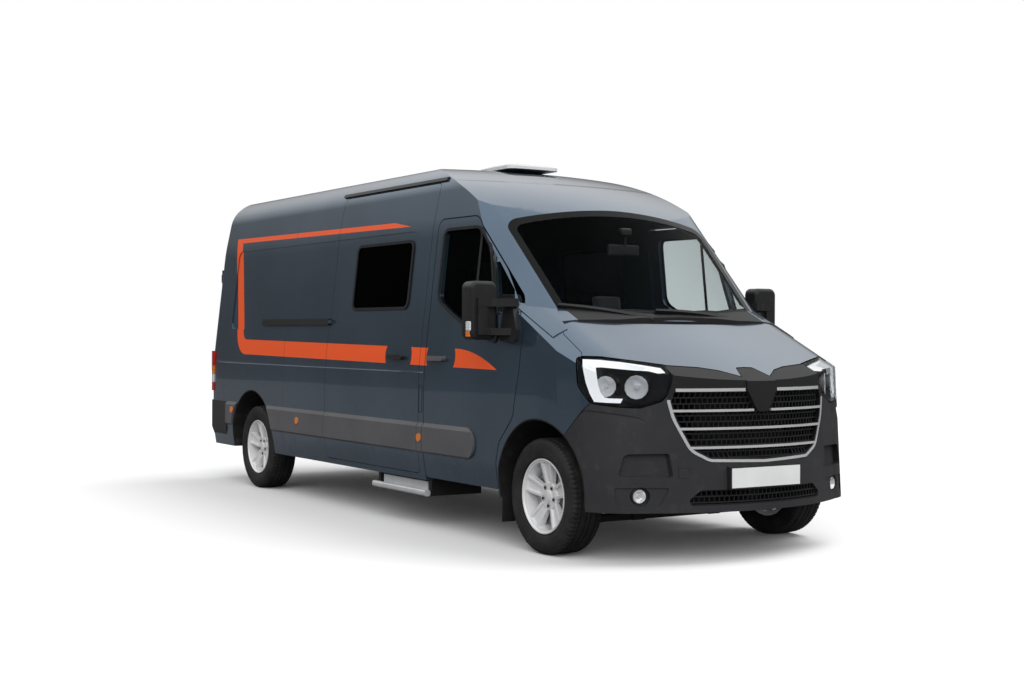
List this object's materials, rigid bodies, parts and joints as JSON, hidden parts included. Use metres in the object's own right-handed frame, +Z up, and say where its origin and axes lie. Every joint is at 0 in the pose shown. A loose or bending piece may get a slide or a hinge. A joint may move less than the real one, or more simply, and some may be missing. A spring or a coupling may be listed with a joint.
{
  "type": "camper van",
  "caption": "High-roof camper van with opening cab and rear doors, bonnet, steered front wheels, rolling wheels and a slide-out entry step.",
  "frame": {"origin": "on the road under the middle of the van", "axes": "+X to the nose, +Y to the van's left, +Z up"},
  "size_m": [6.225, 2.47, 2.5219],
  "materials": {
    "paint": "gloss metallic",
    "black_plastic": "grained",
    "glass": "polished",
    "dark_glass": "polished",
    "lamp_clear": "polished",
    "lamp_red": "polished",
    "lamp_amber": "polished",
    "rubber": "matt",
    "alloy": "satin",
    "aluminium": "brushed",
    "dark_steel": "matt",
    "fabric": "woven",
    "plate": "gloss",
    "chrome": "polished",
    "lamp_dark": "polished",
    "vent_white": "satin"
  },
  "bodies": {
    "body": {"roof": "paint", "body_side_left": "paint", "body_side_right": "paint", "cab_frame": "paint", "front_wings": "paint", "sliding_door": "paint", "front_bumper": "black_plastic", "grille": "black_plastic", "lower_grille": "black_plastic", "rear_bumper": "black_plastic", "rub_strips": "black_plastic", "door_rails": "black_plastic", "dashboard": "black_plastic", "steering_wheel": "black_plastic", "wheel_housings": "black_plastic", "step_housing": "black_plastic", "wipers": "black_plastic", "grille_trim": "chrome", "headlamp_housings": "lamp_dark", "roof_vents": "vent_white", "windscreen": "glass", "side_windows": "dark_glass", "headlamps": "lamp_clear", "fog_lamps": "lamp_clear", "rear_lamps": "lamp_red", "side_markers": "lamp_amber", "mudflaps": "rubber", "floor_pan": "dark_steel", "engine_block": "dark_steel", "front_subframe": "dark_steel", "rear_axle": "dark_steel", "cab_seats": "fabric", "front_plate": "plate"},
    "bonnet_lid": {"bonnet": "paint"},
    "door_left": {"cab_door_left": "paint", "cab_door_glass_left": "glass", "cab_door_strip_left": "black_plastic", "mirror_left": "black_plastic"},
    "door_right": {"cab_door_right": "paint", "cab_door_glass_right": "glass", "cab_door_strip_right": "black_plastic", "mirror_right": "black_plastic"},
    "tail_left": {"rear_door_left": "paint", "rear_door_glass_left": "dark_glass"},
    "tail_right": {"rear_door_right": "paint", "rear_door_glass_right": "dark_glass"},
    "steer_left": {"knuckle_left": "dark_steel"},
    "steer_right": {"knuckle_right": "dark_steel"},
    "wheel_front_left": {"rim_front_left": "alloy", "tyre_front_left": "rubber"},
    "wheel_front_right": {"rim_front_right": "alloy", "tyre_front_right": "rubber"},
    "wheel_rear_left": {"rim_rear_left": "alloy", "tyre_rear_left": "rubber"},
    "wheel_rear_right": {"rim_rear_right": "alloy", "tyre_rear_right": "rubber"},
    "step": {"step_tread": "aluminium"}
  },
  "joints": [
    {"name": "bonnet_hinge", "type": "hinge", "parent": "body", "child": "bonnet_lid", "pos_m": [2.2355, 0, 1.38], "axis": [0, -1, 0], "range_deg": [0, 55]},
    {"name": "door_left_hinge", "type": "hinge", "parent": "body", "child": "door_left", "pos_m": [1.9815, 1.0205, 1], "axis": [0, 0, -1], "range_deg": [0, 70]},
    {"name": "door_right_hinge", "type": "hinge", "parent": "body", "child": "door_right", "pos_m": [1.9815, -1.0205, 1], "axis": [0, 0, 1], "range_deg": [0, 70]},
    {"name": "tail_left_hinge", "type": "hinge", "parent": "body", "child": "tail_left", "pos_m": [-3.0995, 0.8795, 1.43], "axis": [0, 0, -1], "range_deg": [0, 180]},
    {"name": "tail_right_hinge", "type": "hinge", "parent": "body", "child": "tail_right", "pos_m": [-3.0995, -0.8795, 1.43], "axis": [0, 0, 1], "range_deg": [0, 180]},
    {"name": "steer_left_turn", "type": "hinge", "parent": "body", "child": "steer_left", "pos_m": [2.2435, 0.757, 0.345], "axis": [0, 0, 1], "range_deg": [-35, 35]},
    {"name": "steer_right_turn", "type": "hinge", "parent": "body", "child": "steer_right", "pos_m": [2.2435, -0.757, 0.345], "axis": [0, 0, 1], "range_deg": [-35, 35]},
    {"name": "wheel_front_left_spin", "type": "hinge", "parent": "steer_left", "child": "wheel_front_left", "pos_m": [2.2435, 0.875, 0.345], "axis": [0, 1, 0], "continuous": true},
    {"name": "wheel_front_right_spin", "type": "hinge", "parent": "steer_right", "child": "wheel_front_right", "pos_m": [2.2435, -0.875, 0.345], "axis": [0, 1, 0], "continuous": true},
    {"name": "wheel_rear_left_spin", "type": "hinge", "parent": "body", "child": "wheel_rear_left", "pos_m": [-2.0885, 0.865, 0.345], "axis": [0, 1, 0], "continuous": true},
    {"name": "wheel_rear_right_spin", "type": "hinge", "parent": "body", "child": "wheel_rear_right", "pos_m": [-2.0885, -0.865, 0.345], "axis": [0, 1, 0], "continuous": true},
    {"name": "step_slide", "type": "slide", "parent": "body", "child": "step", "axis": [0, -1, 0], "range_m": [0, 0.25]}
  ],
  "couplings": [
    {"joint": "steer_right_turn", "follows": "steer_left_turn", "ratio": 1}
  ]
}
